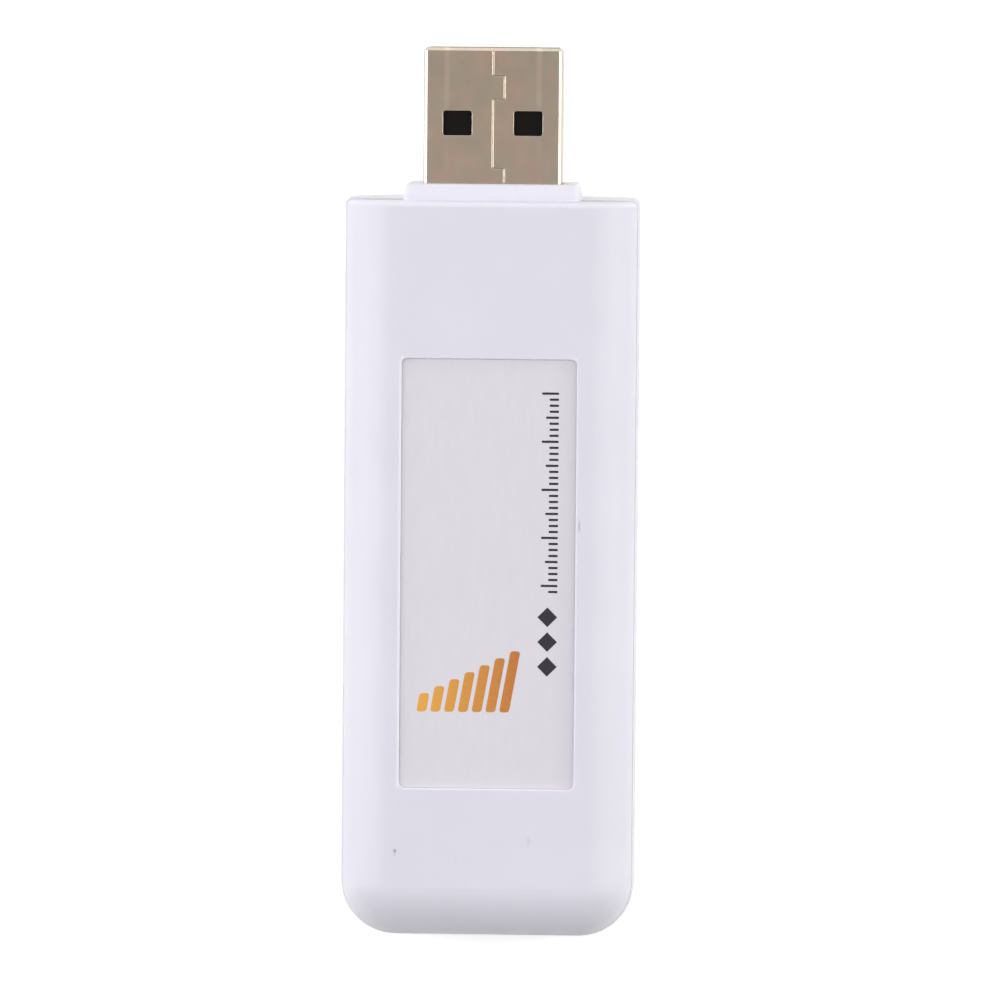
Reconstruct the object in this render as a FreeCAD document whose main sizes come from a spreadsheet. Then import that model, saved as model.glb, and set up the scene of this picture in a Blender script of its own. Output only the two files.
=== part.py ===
import FreeCAD, Part
import math
import os
import Sketcher

# USB radio adapter: a white plastic stick in two moulded halves, with a recessed label on its front face
# and a standard type A plug of folded steel. It lies on its back: +Z is the front, +Y runs out of the plug.
# The origin is under the middle of the whole length, on the surface that the back rests on. Millimetres.

document = FreeCAD.newDocument("usb_radio_adapter")

DRIVING_SIZES = {
    # outer case
    "case_width": 25.5,
    "case_length": 64.15,
    "front_room": 5.5,
    "back_room": 5.5,
    "case_wall": 1.5,
    "front_edge_radius": 4.5,
    "back_edge_radius": 3.5,
    "cavity_bevel_share": 0.75,
    "corner_margin": 0.3,
    "front_shoulder_radius": 0.5,
    "back_shoulder_bevel": 0.35,
    "cover_inset": 0.05,
    "shoulder_inset": 0.15,
    "parting_drop": 0.25,
    "groove_depth": 0.2,
    "groove_height": 0.12,
    "lip_width": 0.5,
    "lip_height": 0.6,
    "lip_clearance": 0.05,
    "lip_set_back": 3.0,
    # neck round the plug
    "neck_reach": 1.3,
    "neck_wall": 1.6,
    "neck_draft": 12.0,
    "neck_corner_radius": 0.6,
    "neck_edge_bevel": 0.12,
    "slot_clearance": 0.1,
    # label and its recess
    "recess_width": 15.1,
    "recess_length": 37.2,
    "recess_depth": 0.4,
    "recess_corner_radius": 0.5,
    "recess_edge_bevel": 0.1,
    "recess_from_shoulder": 13.7,
    "label_clearance": 0.02,
    "label_thickness": 0.12,
    # plug shell
    "plug_width": 12.0,
    "plug_height": 4.5,
    "plug_reach": 11.75,
    "plug_tail": 7.05,
    "sheet_thickness": 0.3,
    "sheet_bend_radius": 0.08,
    "plug_tip_bevel": 0.25,
    "window_width": 2.5,
    "window_length": 2.15,
    "window_spacing": 6.12,
    "window_from_tip": 5.44,
    "window_corner_radius": 0.25,
    "seam_gap": 0.01,
    "seam_side_shift": 1.0,
    "seam_corner_radius": 0.12,
    "seam_edge_bevel": 0.06,
    "seam_first_run": 2.4,
    "seam_second_run": 2.03,
    "seam_third_run": 5.97,
    "seam_fourth_run": 4.0,
    "peg_width": 1.5,
    "peg_from_rear": 2.0,
    "peg_below_board": 0.4,
    "peg_clearance": 0.1,
    # moulded tongue and its contacts
    "mouth_gap": 1.95,
    "tongue_set_back": 0.4,
    "tongue_length": 8.8,
    "tongue_lead_in": 0.35,
    "insulator_clearance": 0.05,
    "insulator_edge_radius": 0.2,
    "contact_width": 1.0,
    "contact_thickness": 0.25,
    "contact_proud": 0.05,
    "contact_slot_clearance": 0.05,
    "outer_contact_run": 7.41,
    "inner_contact_run": 6.41,
    "inner_contact_spacing": 2.0,
    "outer_contact_spacing": 7.0,
    "contact_tail_gap": 0.5,
    "contact_foot": 1.0,
    "contact_bend_radius": 0.1,
    # circuit board and what locates it
    "board_thickness": 1.0,
    "board_rim_clearance": 1.05,
    "board_end_clearance": 0.4,
    "root_depth": 0.3,
    "post_diameter": 3.2,
    "post_from_board_side": 2.0,
    "post_from_board_end": 12.0,
    "pin_diameter": 1.5,
    "pin_clearance": 0.1,
    "pin_above_board": 0.8,
    "ledge_length": 3.0,
    "ledge_reach": 1.2,
    "ledge_from_board_end": 0.6,
    "clamp_rib_thickness": 1.0,
    "clamp_rib_length": 3.0,
    "clamp_rib_spacing": 6.0,
    "clamp_rib_from_rear": 1.0,
    # antenna
    "antenna_wire": 0.7,
    "antenna_coil_radius": 2.1,
    "antenna_pitch": 2.2,
    "antenna_rise": 0.3,
    "antenna_from_board_end": 6.0,
    "antenna_leg_below_board": 0.5,
    "antenna_hole_clearance": 0.1,
    # parts on the board: their own sizes, place along X, and place behind the board's front end
    "controller_width": 7.0,
    "controller_length": 7.0,
    "controller_height": 0.9,
    "controller_side": -2.5,
    "controller_behind": 15.75,
    "transceiver_width": 5.0,
    "transceiver_length": 5.0,
    "transceiver_height": 0.9,
    "transceiver_side": -1.0,
    "transceiver_behind": 35.25,
    "memory_width": 3.9,
    "memory_length": 4.9,
    "memory_height": 1.6,
    "memory_side": -5.5,
    "memory_behind": 25.75,
    "protector_width": 1.6,
    "protector_length": 2.9,
    "protector_height": 1.1,
    "protector_side": 0.0,
    "protector_behind": 8.4,
    "regulator_width": 4.5,
    "regulator_length": 2.5,
    "regulator_height": 1.5,
    "regulator_side": 5.6,
    "regulator_behind": 13.0,
    "clock_can_width": 11.4,
    "clock_can_length": 4.7,
    "clock_can_height": 3.4,
    "clock_can_side": 4.2,
    "clock_can_behind": 25.25,
    "radio_crystal_width": 3.2,
    "radio_crystal_length": 2.5,
    "radio_crystal_height": 0.8,
    "radio_crystal_side": 6.0,
    "radio_crystal_behind": 35.25,
    "ferrite_width": 2.0,
    "ferrite_length": 1.25,
    "ferrite_height": 1.1,
    "ferrite_side": -5.0,
    "ferrite_behind": 7.8,
    "inductor_width": 2.0,
    "inductor_length": 1.25,
    "inductor_height": 1.2,
    "inductor_side": -2.0,
    "inductor_behind": 40.25,
    "capacitor_width": 0.8,
    "capacitor_length": 1.6,
    "capacitor_height": 0.8,
    "capacitor_side": -7.0,
    "capacitor_behind": 21.15,
    "resistor_width": 0.8,
    "resistor_length": 1.6,
    "resistor_height": 0.45,
    "resistor_side": -6.0,
    "resistor_behind": 43.0,
    "lead_thickness": 0.2,
    "lead_rise": 0.6,
    "package_lift": 0.15,
    "lead_foot": 0.55,
    "lead_shank": 0.5,
    "memory_lead_width": 0.4,
    "memory_lead_pitch": 1.27,
    "protector_lead_width": 0.35,
    "protector_lead_pitch": 0.95,
    "regulator_lead_width": 0.5,
    "regulator_lead_pitch": 1.5,
    "regulator_tab_width": 1.7,
    "regulator_lead_reach": 0.9,
    "package_chamfer": 0.12,
    "can_flange_width": 0.35,
    "can_flange_height": 0.4,
    "can_top_bevel": 0.3,
    "can_end_flat": 0.4,
    "inductor_pitch": 3.0,
    "capacitor_pitch": 2.7,
    "capacitor_row_gap": 9.1,
    "resistor_pitch": 2.4,
}

# How many there are of each thing: in a row, at one side of a chip, or in one turn of the antenna
CAPACITOR_COUNT = 6
RESISTOR_COUNT = 6
INDUCTOR_COUNT = 3
MEMORY_LEAD_COUNT = 4
PROTECTOR_LEAD_COUNT = 3
WIRE_SIDE_COUNT = 6
CHORD_COUNT = 10
TURN_COUNT = 6

sheet = document.addObject("Spreadsheet::Sheet", "Sizes")
for row, (alias, value) in enumerate(DRIVING_SIZES.items(), start=1):
    sheet.set(f"A{row}", alias)
    sheet.set(f"B{row}", str(value))
    sheet.setAlias(f"B{row}", alias)
document.recompute()


def size(alias):
    """One driving size, as an expression."""
    return "Sizes." + alias


def numeric(expression):
    """The number that an expression gives now, used only to draw a sketch near its solution."""
    result = sheet.evalExpression(expression)
    return float(getattr(result, "Value", result))


# Places along the length
TIP = f"(({size('case_length')} + {size('neck_reach')} + {size('plug_reach')}) / 2)"
FAR_END = f"(-{TIP})"
NECK_FRONT = f"({TIP} - {size('plug_reach')})"
SHOULDER = f"({NECK_FRONT} - {size('neck_reach')})"
SHOULDER_INSIDE = f"({SHOULDER} - {size('case_wall')})"
FAR_INSIDE = f"({FAR_END} + {size('case_wall')})"
SHELL_REAR = f"({NECK_FRONT} - {size('plug_tail')})"
TONGUE_TIP = f"({TIP} - {size('tongue_set_back')})"
TONGUE_ROOT = f"({TONGUE_TIP} - {size('tongue_length')})"
BOARD_FRONT = f"({SHOULDER_INSIDE} - {size('board_end_clearance')})"
BOARD_REAR = f"({FAR_INSIDE} + {size('board_rim_clearance')})"

# Heights
FRONT_FACE = f"({size('back_room')} + {size('front_room')})"
PLUG_AXIS = size("back_room")
PLUG_TOP = f"({PLUG_AXIS} + {size('plug_height')} / 2)"
PLUG_BOTTOM = f"({PLUG_AXIS} - {size('plug_height')} / 2)"
PLUG_INSIDE_TOP = f"({PLUG_TOP} - {size('sheet_thickness')})"
PLUG_INSIDE_BOTTOM = f"({PLUG_BOTTOM} + {size('sheet_thickness')})"
TONGUE_FACE = f"({PLUG_INSIDE_BOTTOM} + {size('mouth_gap')})"
PARTING = f"({PLUG_TOP} - {size('parting_drop')})"
FLOOR = size("case_wall")
CEILING = f"({FRONT_FACE} - {size('case_wall')})"
BOARD_TOP = PLUG_BOTTOM
BOARD_BOTTOM = f"({BOARD_TOP} - {size('board_thickness')})"
RECESS_FLOOR = f"({FRONT_FACE} - {size('recess_depth')})"

# Half widths and radii
CASE_HALF = f"({size('case_width')} / 2)"
CAVITY_HALF = f"({CASE_HALF} - {size('case_wall')})"
BOARD_HALF = f"({CAVITY_HALF} - {size('board_rim_clearance')})"
CORNER_RADIUS = f"(max({size('front_edge_radius')}; {size('back_edge_radius')}) + {size('corner_margin')})"
CAVITY_CORNER = f"({CORNER_RADIUS} - {size('case_wall')})"
SHEET_OUTER_RADIUS = f"({size('sheet_bend_radius')} + {size('sheet_thickness')})"


def minus(expression):
    return f"(-{expression})"


def plane_sketch(body, name, role, offset="0"):
    """A sketch on one of the body's own planes, moved along that plane's normal by an expression."""
    sketch = body.newObject("Sketcher::SketchObject", name)
    plane = next(feature for feature in body.Origin.OriginFeatures if feature.Role == role)
    sketch.AttachmentSupport = (plane, [""])
    sketch.MapMode = "FlatFace"
    sketch.setExpression("AttachmentOffset.Base.z", offset)
    return sketch


def bind_last(sketch, expression):
    sketch.setExpression(f"Constraints[{sketch.ConstraintCount - 1}]", expression)


def outline(sketch, edges):
    """A closed outline of upright and level lines. An edge is (axis, place, corner radius at its end)."""
    count = len(edges)
    places = [numeric(place) for _, place, _ in edges]
    corners = []
    for index in range(count):
        after = (index + 1) % count
        level = places[index] if edges[index][0] == "y" else places[after]
        upright = places[index] if edges[index][0] == "x" else places[after]
        corners.append(FreeCAD.Vector(upright, level, 0))
    radii = [numeric(radius) if radius else 0.0 for _, _, radius in edges]
    directions = [(corners[index] - corners[index - 1]).normalize() for index in range(count)]
    lines = []
    for index in range(count):
        start = corners[index - 1] + directions[index] * radii[index - 1]
        end = corners[index] - directions[index] * radii[index]
        line = sketch.addGeometry(Part.LineSegment(start, end), False)
        lines.append(line)
        axis, place, _ = edges[index]
        sketch.addConstraint(Sketcher.Constraint("Vertical" if axis == "x" else "Horizontal", line))
        distance = "DistanceX" if axis == "x" else "DistanceY"
        sketch.addConstraint(Sketcher.Constraint(distance, -1, 1, line, 1, places[index]))
        bind_last(sketch, place)
    for index in range(count):
        after = (index + 1) % count
        if not radii[index]:
            sketch.addConstraint(Sketcher.Constraint("Coincident", lines[index], 2, lines[after], 1))
            continue
        inward = directions[after] - directions[index]
        centre = corners[index] + inward * radii[index]
        entry = corners[index] - directions[index] * radii[index] - centre
        leave = corners[index] + directions[after] * radii[index] - centre
        turn = directions[index].cross(directions[after]).z
        first, last = (entry, leave) if turn > 0 else (leave, entry)
        begin = math.atan2(first.y, first.x)
        finish = math.atan2(last.y, last.x)
        circle = Part.Circle(centre, FreeCAD.Vector(0, 0, 1), radii[index])
        arc = sketch.addGeometry(Part.ArcOfCircle(circle, begin, finish), False)
        entry_end, leave_end = (1, 2) if turn > 0 else (2, 1)
        sketch.addConstraint(Sketcher.Constraint("Tangent", lines[index], 2, arc, entry_end))
        sketch.addConstraint(Sketcher.Constraint("Tangent", arc, leave_end, lines[after], 1))
        sketch.addConstraint(Sketcher.Constraint("Radius", arc, radii[index]))
        bind_last(sketch, edges[index][2])


def rectangle(sketch, low_x, high_x, low_y, high_y, radius=None):
    edges = [("x", high_x, radius), ("y", high_y, radius), ("x", low_x, radius), ("y", low_y, radius)]
    outline(sketch, edges)


def circle(sketch, x, y, radius):
    centre = FreeCAD.Vector(numeric(x), numeric(y), 0)
    ring = sketch.addGeometry(Part.Circle(centre, FreeCAD.Vector(0, 0, 1), numeric(radius)), False)
    sketch.addConstraint(Sketcher.Constraint("Radius", ring, numeric(radius)))
    bind_last(sketch, radius)
    sketch.addConstraint(Sketcher.Constraint("DistanceX", -1, 1, ring, 3, centre.x))
    bind_last(sketch, x)
    sketch.addConstraint(Sketcher.Constraint("DistanceY", -1, 1, ring, 3, centre.y))
    bind_last(sketch, y)


def pad(body, name, sketch, length, reverse=False, midplane=False, taper=None):
    feature = body.newObject("PartDesign::Pad", name)
    feature.Profile = sketch
    feature.setExpression("Length", length)
    feature.Reversed = reverse
    feature.Midplane = midplane
    if taper:
        feature.setExpression("TaperAngle", taper)
    document.recompute()
    return feature


def pocket(body, name, sketch, length=None, reverse=False):
    """Cuts against the sketch's normal, or along it when reversed, and makes sure that it cut something."""
    before = body.Shape.Volume
    feature = body.newObject("PartDesign::Pocket", name)
    feature.Profile = sketch
    feature.Reversed = reverse
    if length:
        feature.setExpression("Length", length)
    else:
        feature.Type = "ThroughAll"
    document.recompute()
    if not body.Shape.Volume < before:
        raise RuntimeError(f"{body.Label}: {name} cut nothing")
    return feature


def edges_where(body, test):
    return [f"Edge{index}" for index, edge in enumerate(body.Shape.Edges, start=1) if test(edge.BoundBox)]


def fillet(body, name, radius, test):
    """Rounds the edges whose boxes pass the test."""
    base = body.Tip
    names = edges_where(body, test)
    if not names:
        raise RuntimeError(f"{body.Label}: {name} found no edge")
    feature = body.newObject("PartDesign::Fillet", name)
    feature.Base = (base, names)
    feature.setExpression("Radius", radius)
    document.recompute()
    return feature


def chamfer(body, name, width, test):
    base = body.Tip
    names = edges_where(body, test)
    if not names:
        raise RuntimeError(f"{body.Label}: {name} found no edge")
    feature = body.newObject("PartDesign::Chamfer", name)
    feature.Base = (base, names)
    feature.setExpression("Size", width)
    document.recompute()
    return feature


def same(first, second):
    return abs(first - second) < 1e-4


def new_body(label):
    body = document.addObject("PartDesign::Body", label + "_body")
    body.Label = label
    return body


def inside_bevel(outside_radius):
    """The bevel inside the cavity that keeps the wall about even behind an edge rounded outside."""
    return f"({size(outside_radius)} - {size('case_wall')}) * {size('cavity_bevel_share')}"


def round_shoulder(body, place):
    fillet(body, body.Label + "_shoulder_edges", size("front_shoulder_radius"),
           lambda box: same(box.YMin, place) and same(box.YMax, place))


def bevel_shoulder(body, place):
    chamfer(body, body.Label + "_shoulder_edges", size("back_shoulder_bevel"),
            lambda box: same(box.YMin, place) and same(box.YMax, place))


# Both halves of the case start from the whole hollow form with its neck, and are then cut at the parting line
def hollow_case(body, inset, set_back, ease_shoulder):
    side = f"({CASE_HALF} - {inset})"
    far_end = f"({FAR_END} + {inset})"
    shoulder = f"({SHOULDER} - {set_back})"
    corner = f"({CORNER_RADIUS} - {inset})"
    plan = plane_sketch(body, body.Label + "_plan", "XY_Plane")
    outline(plan, [("x", side, None), ("y", shoulder, None), ("x", minus(side), corner),
                   ("y", far_end, corner)])
    pad(body, body.Label + "_block", plan, FRONT_FACE)
    front, shoulder_place = numeric(FRONT_FACE), numeric(shoulder)
    fillet(body, body.Label + "_front_edges", size("front_edge_radius"),
           lambda box: same(box.ZMin, front) and not same(box.YMin, shoulder_place))
    fillet(body, body.Label + "_back_edges", size("back_edge_radius"),
           lambda box: same(box.ZMax, 0) and not same(box.YMin, shoulder_place))
    ease_shoulder(body, shoulder_place)

    cavity = plane_sketch(body, body.Label + "_cavity_plan", "XY_Plane", FLOOR)
    outline(cavity, [("x", CAVITY_HALF, None), ("y", SHOULDER_INSIDE, None),
                     ("x", minus(CAVITY_HALF), CAVITY_CORNER), ("y", FAR_INSIDE, CAVITY_CORNER)])
    pocket(body, body.Label + "_cavity", cavity, f"{CEILING} - {FLOOR}", reverse=True)
    ceiling, floor, inside = numeric(CEILING), numeric(FLOOR), numeric(SHOULDER_INSIDE)
    chamfer(body, body.Label + "_ceiling_edges", inside_bevel("front_edge_radius"),
            lambda box: same(box.ZMin, ceiling) and same(box.ZMax, ceiling) and not same(box.YMin, inside))
    chamfer(body, body.Label + "_floor_edges", inside_bevel("back_edge_radius"),
            lambda box: same(box.ZMin, floor) and same(box.ZMax, floor) and not same(box.YMin, inside))

    neck_half = f"({size('plug_width')} / 2 + {size('slot_clearance')} + {size('neck_wall')})"
    neck_rise = f"({size('plug_height')} / 2 + {size('slot_clearance')} + {size('neck_wall')})"
    neck_root = f"({SHOULDER} - {size('shoulder_inset')})"
    neck = plane_sketch(body, body.Label + "_neck_section", "XZ_Plane", minus(neck_root))
    rectangle(neck, minus(neck_half), neck_half, f"({PLUG_AXIS} - {neck_rise})",
              f"({PLUG_AXIS} + {neck_rise})", size("neck_corner_radius"))
    pad(body, body.Label + "_neck", neck, f"{size('neck_reach')} + {size('shoulder_inset')}", reverse=True,
        taper=minus(size("neck_draft")))
    neck_front = numeric(NECK_FRONT)
    chamfer(body, body.Label + "_neck_edges", size("neck_edge_bevel"),
            lambda box: same(box.YMin, neck_front) and same(box.YMax, neck_front))

    slot_half = f"({size('plug_width')} / 2 + {size('slot_clearance')})"
    slot_rise = f"({size('plug_height')} / 2 + {size('slot_clearance')})"
    slot = plane_sketch(body, body.Label + "_slot_section", "XZ_Plane", minus(NECK_FRONT))
    rectangle(slot, minus(slot_half), slot_half, f"({PLUG_AXIS} - {slot_rise})",
              f"({PLUG_AXIS} + {slot_rise})", f"({SHEET_OUTER_RADIUS} + {size('slot_clearance')})")
    pocket(body, body.Label + "_slot", slot,
           f"{size('neck_reach')} + {size('case_wall')} + {size('board_end_clearance')} / 2", reverse=True)


def lip_band(sketch, outer_clearance):
    """The band along both sides and the far end, against the cavity: the lip, or the groove for it."""
    outer = f"({CAVITY_HALF} + {size('lip_width')} + {outer_clearance})"
    far_outer = f"({FAR_INSIDE} - {size('lip_width')} - {outer_clearance})"
    outer_corner = f"({CAVITY_CORNER} + {size('lip_width')} + {outer_clearance})"
    end = f"({SHOULDER_INSIDE} - {size('lip_set_back')} + {outer_clearance})"
    outline(sketch, [("x", outer, None), ("y", end, None), ("x", CAVITY_HALF, CAVITY_CORNER),
                     ("y", FAR_INSIDE, CAVITY_CORNER), ("x", minus(CAVITY_HALF), None), ("y", end, None),
                     ("x", minus(outer), outer_corner), ("y", far_outer, outer_corner)])


def post_places():
    """The two posts that locate the board, one at each side before the antenna."""
    half = f"({BOARD_HALF} - {size('post_from_board_side')})"
    row = f"({BOARD_REAR} + {size('post_from_board_end')})"
    return [(minus(half), row), (half, row)]


POST_RADIUS = f"({size('post_diameter')} / 2)"
PIN_RADIUS = f"({size('pin_diameter')} / 2)"
HOLE_RADIUS = f"({PIN_RADIUS} + {size('pin_clearance')})"
ROOT_BELOW = f"({FLOOR} - {size('root_depth')})"
ROOT_ABOVE = f"({CEILING} + {size('root_depth')})"
BEYOND_CASE = f"({size('case_width')} + {size('case_length')})"


# Back cover: the deep half, with the lip, the board posts and the ledges under the plug end of the board
back_cover = new_body("back_cover")
hollow_case(back_cover, "0", "0", bevel_shoulder)
above = plane_sketch(back_cover, "back_parting", "XY_Plane", PARTING)
rectangle(above, minus(BEYOND_CASE), BEYOND_CASE, minus(BEYOND_CASE), BEYOND_CASE)
pocket(back_cover, "back_parting_cut", above, size("front_room"), reverse=True)
lip = plane_sketch(back_cover, "lip_plan", "XY_Plane", PARTING)
lip_band(lip, "0")
pad(back_cover, "lip", lip, size("lip_height"))
bosses = plane_sketch(back_cover, "post_plan", "XY_Plane", ROOT_BELOW)
pins = plane_sketch(back_cover, "pin_plan", "XY_Plane", BOARD_BOTTOM)
for place_x, place_y in post_places():
    circle(bosses, place_x, place_y, POST_RADIUS)
    circle(pins, place_x, place_y, PIN_RADIUS)
pad(back_cover, "board_posts", bosses, f"{BOARD_BOTTOM} - {ROOT_BELOW}")
pad(back_cover, "board_pins", pins, f"{size('board_thickness')} + {size('pin_above_board')}")
ledges = plane_sketch(back_cover, "ledge_plan", "XY_Plane", ROOT_BELOW)
ledge_front = f"({BOARD_FRONT} - {size('ledge_from_board_end')})"
ledge_inner = f"({BOARD_HALF} - {size('ledge_reach')})"
ledge_outer = f"({CAVITY_HALF} + {size('root_depth')})"
for low, high in ((minus(ledge_outer), minus(ledge_inner)), (ledge_inner, ledge_outer)):
    rectangle(ledges, low, high, f"({ledge_front} - {size('ledge_length')})", ledge_front)
pad(back_cover, "board_ledges", ledges, f"{BOARD_BOTTOM} - {ROOT_BELOW}")

# Front cover: the shallow half, a step narrower, with the label recess, the lip's groove and the bosses that
# hold the board down
front_cover = new_body("front_cover")
hollow_case(front_cover, size("cover_inset"), size("shoulder_inset"), round_shoulder)
below = plane_sketch(front_cover, "front_parting", "XY_Plane", PARTING)
rectangle(below, minus(BEYOND_CASE), BEYOND_CASE, minus(BEYOND_CASE), BEYOND_CASE)
pocket(front_cover, "front_parting_cut", below)
groove = plane_sketch(front_cover, "lip_groove_plan", "XY_Plane", PARTING)
lip_band(groove, size("lip_clearance"))
pocket(front_cover, "lip_groove", groove, f"{size('lip_height')} + {size('lip_clearance')}", reverse=True)
reveal = plane_sketch(front_cover, "reveal_plan", "XY_Plane", PARTING)
reveal_half = f"({CASE_HALF} - {size('cover_inset')} - {size('groove_depth')})"
reveal_far = f"({FAR_END} + {size('cover_inset')} + {size('groove_depth')})"
reveal_shoulder = f"({SHOULDER} - {size('shoulder_inset')} - {size('groove_depth')})"
reveal_corner = f"({CORNER_RADIUS} - {size('cover_inset')} - {size('groove_depth')})"
neck_side = f"({size('plug_width')} / 2 + {size('slot_clearance')} + {size('neck_wall')})"
outline(reveal, [("y", BEYOND_CASE, None), ("x", minus(BEYOND_CASE), None), ("y", minus(BEYOND_CASE), None),
                 ("x", BEYOND_CASE, None), ("y", BEYOND_CASE, None), ("x", neck_side, None),
                 ("y", reveal_shoulder, None), ("x", reveal_half, reveal_corner),
                 ("y", reveal_far, reveal_corner), ("x", minus(reveal_half), None),
                 ("y", reveal_shoulder, None), ("x", minus(neck_side), None)])
pocket(front_cover, "reveal_groove", reveal, size("groove_height"), reverse=True)
recess = plane_sketch(front_cover, "label_recess_plan", "XY_Plane", FRONT_FACE)
recess_half = f"({size('recess_width')} / 2)"
recess_top = f"({SHOULDER} - {size('recess_from_shoulder')})"
recess_low = f"({recess_top} - {size('recess_length')})"
rectangle(recess, minus(recess_half), recess_half, recess_low, recess_top, size("recess_corner_radius"))
pocket(front_cover, "label_recess", recess, size("recess_depth"))
face_level, recess_side = numeric(FRONT_FACE), numeric(recess_half)
recess_start, recess_finish = numeric(recess_top), numeric(recess_low)
chamfer(front_cover, "recess_rim", size("recess_edge_bevel"),
        lambda box: same(box.ZMin, face_level) and max(abs(box.XMin), abs(box.XMax)) < recess_side + 1e-3
        and box.YMin > recess_finish - 1e-3 and box.YMax < recess_start + 1e-3)
hold_downs = plane_sketch(front_cover, "hold_down_plan", "XY_Plane", BOARD_TOP)
bores = plane_sketch(front_cover, "hold_down_bore_plan", "XY_Plane", BOARD_TOP)
for place_x, place_y in post_places():
    circle(hold_downs, place_x, place_y, POST_RADIUS)
    circle(bores, place_x, place_y, HOLE_RADIUS)
pad(front_cover, "hold_down_bosses", hold_downs, f"{ROOT_ABOVE} - {BOARD_TOP}")
pocket(front_cover, "hold_down_bores", bores, f"{size('pin_above_board')} + {size('pin_clearance')}",
       reverse=True)
ribs = plane_sketch(front_cover, "clamp_rib_plan", "XY_Plane", PLUG_TOP)
rib_rear = f"({SHELL_REAR} + {size('clamp_rib_from_rear')})"
for sign in ("-", ""):
    middle = f"({sign}{size('clamp_rib_spacing')} / 2)"
    half_rib = f"{size('clamp_rib_thickness')} / 2"
    rectangle(ribs, f"({middle} - {half_rib})", f"({middle} + {half_rib})", rib_rear,
              f"({rib_rear} + {size('clamp_rib_length')})")
pad(front_cover, "clamp_ribs", ribs, f"{ROOT_ABOVE} - {PLUG_TOP}")

# Label: a thin printed film that lies on the recess floor, a little short of its walls
label = new_body("label")
film = plane_sketch(label, "label_plan", "XY_Plane", RECESS_FLOOR)
film_half = f"({recess_half} - {size('label_clearance')})"
rectangle(film, minus(film_half), film_half, f"({recess_low} + {size('label_clearance')})",
          f"({recess_top} - {size('label_clearance')})",
          f"({size('recess_corner_radius')} - {size('label_clearance')})")
pad(label, "label_film", film, size("label_thickness"))

# Plug shell: one steel sheet folded into a box, its seam on the front side jogging round interlocking tabs
plug_shell = new_body("plug_shell")
shell_half = f"({size('plug_width')} / 2)"
section = plane_sketch(plug_shell, "shell_section", "XZ_Plane", minus(TIP))
rectangle(section, minus(shell_half), shell_half, PLUG_BOTTOM, PLUG_TOP, SHEET_OUTER_RADIUS)
sheet_inside = f"({shell_half} - {size('sheet_thickness')})"
rectangle(section, minus(sheet_inside), sheet_inside, PLUG_INSIDE_BOTTOM, PLUG_INSIDE_TOP,
          size("sheet_bend_radius"))
pad(plug_shell, "folded_box", section, f"{size('plug_reach')} + {size('plug_tail')}")
tip_place, shell_side = numeric(TIP), numeric(shell_half)
outer_bottom, outer_top = numeric(PLUG_BOTTOM), numeric(PLUG_TOP)


def on_outer_tip(box):
    if not (same(box.YMin, tip_place) and same(box.YMax, tip_place)):
        return False
    inner_sheet = shell_side - numeric(size("sheet_thickness"))
    reach_x = max(abs(box.XMin), abs(box.XMax))
    level = same(box.ZMin, outer_bottom) or same(box.ZMax, outer_top)
    return level or reach_x > inner_sheet + 1e-3


chamfer(plug_shell, "tip_lead_in", size("plug_tip_bevel"), on_outer_tip)
windows = plane_sketch(plug_shell, "window_plan", "XY_Plane", f"({PLUG_TOP} + {size('sheet_thickness')})")
window_front = f"({TIP} - {size('window_from_tip')})"
for sign in ("-", ""):
    middle = f"({sign}{size('window_spacing')} / 2)"
    half_window = f"{size('window_width')} / 2"
    rectangle(windows, f"({middle} - {half_window})", f"({middle} + {half_window})",
              f"({window_front} - {size('window_length')})", window_front, size("window_corner_radius"))
pocket(plug_shell, "latch_windows", windows)

HALF_GAP = f"({size('seam_gap')} / 2)"


def seam_outline():
    """The slot between the sheet's two edges: down its left side, across the end, back up its right side."""
    stations = []
    depth = TIP
    for run in ("seam_first_run", "seam_second_run", "seam_third_run", "seam_fourth_run"):
        depth = f"({depth} - {size(run)})"
        stations.append(depth)
    step = size("seam_side_shift")
    rounding = size("seam_corner_radius")
    down, up = [("x", minus(HALF_GAP), rounding)], [("x", HALF_GAP, None)]
    for index, station in enumerate(stations):
        outward = index % 2 == 0
        middle = step if outward else "0"
        sign = "-" if outward else "+"
        opposite = "+" if outward else "-"
        last = index == len(stations) - 1
        down.append(("y", f"({station} {sign} {HALF_GAP})", rounding))
        down.append(("x", f"({middle} - {HALF_GAP})", None if last else rounding))
        up.append(("y", f"({station} {opposite} {HALF_GAP})", rounding))
        up.append(("x", f"({middle} + {HALF_GAP})", rounding))
    way_up = [(axis, place, rounding) for axis, place, _ in reversed(up[1:])] + up[:1]
    end = ("y", f"({SHELL_REAR} - {size('sheet_thickness')})", None)
    start = ("y", f"({TIP} + {size('sheet_thickness')})", None)
    return down + [end] + way_up + [start]


seam = plane_sketch(plug_shell, "seam_plan", "XY_Plane", f"({PLUG_TOP} + {size('sheet_thickness')})")
outline(seam, seam_outline())
pocket(plug_shell, "seam", seam, f"2 * {size('sheet_thickness')} + {size('sheet_bend_radius')}")
seam_reach = numeric(f"{size('seam_side_shift')} + {HALF_GAP}")
chamfer(plug_shell, "seam_edges", size("seam_edge_bevel"),
        lambda box: same(box.ZMin, outer_top) and same(box.ZMax, outer_top)
        and box.XMin > -seam_reach and box.XMax < seam_reach + 1e-3 and not same(box.YMin, tip_place))
pegs = plane_sketch(plug_shell, "peg_plan", "XY_Plane", f"({BOARD_BOTTOM} - {size('peg_below_board')})")
peg_rear = f"({SHELL_REAR} + {size('peg_from_rear')})"
for low, high in ((minus(shell_half), minus(sheet_inside)), (sheet_inside, shell_half)):
    rectangle(pegs, low, high, peg_rear, f"({peg_rear} + {size('peg_width')})")
pad(plug_shell, "board_pegs", pegs, f"{PLUG_AXIS} - {BOARD_BOTTOM} + {size('peg_below_board')}")

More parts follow.
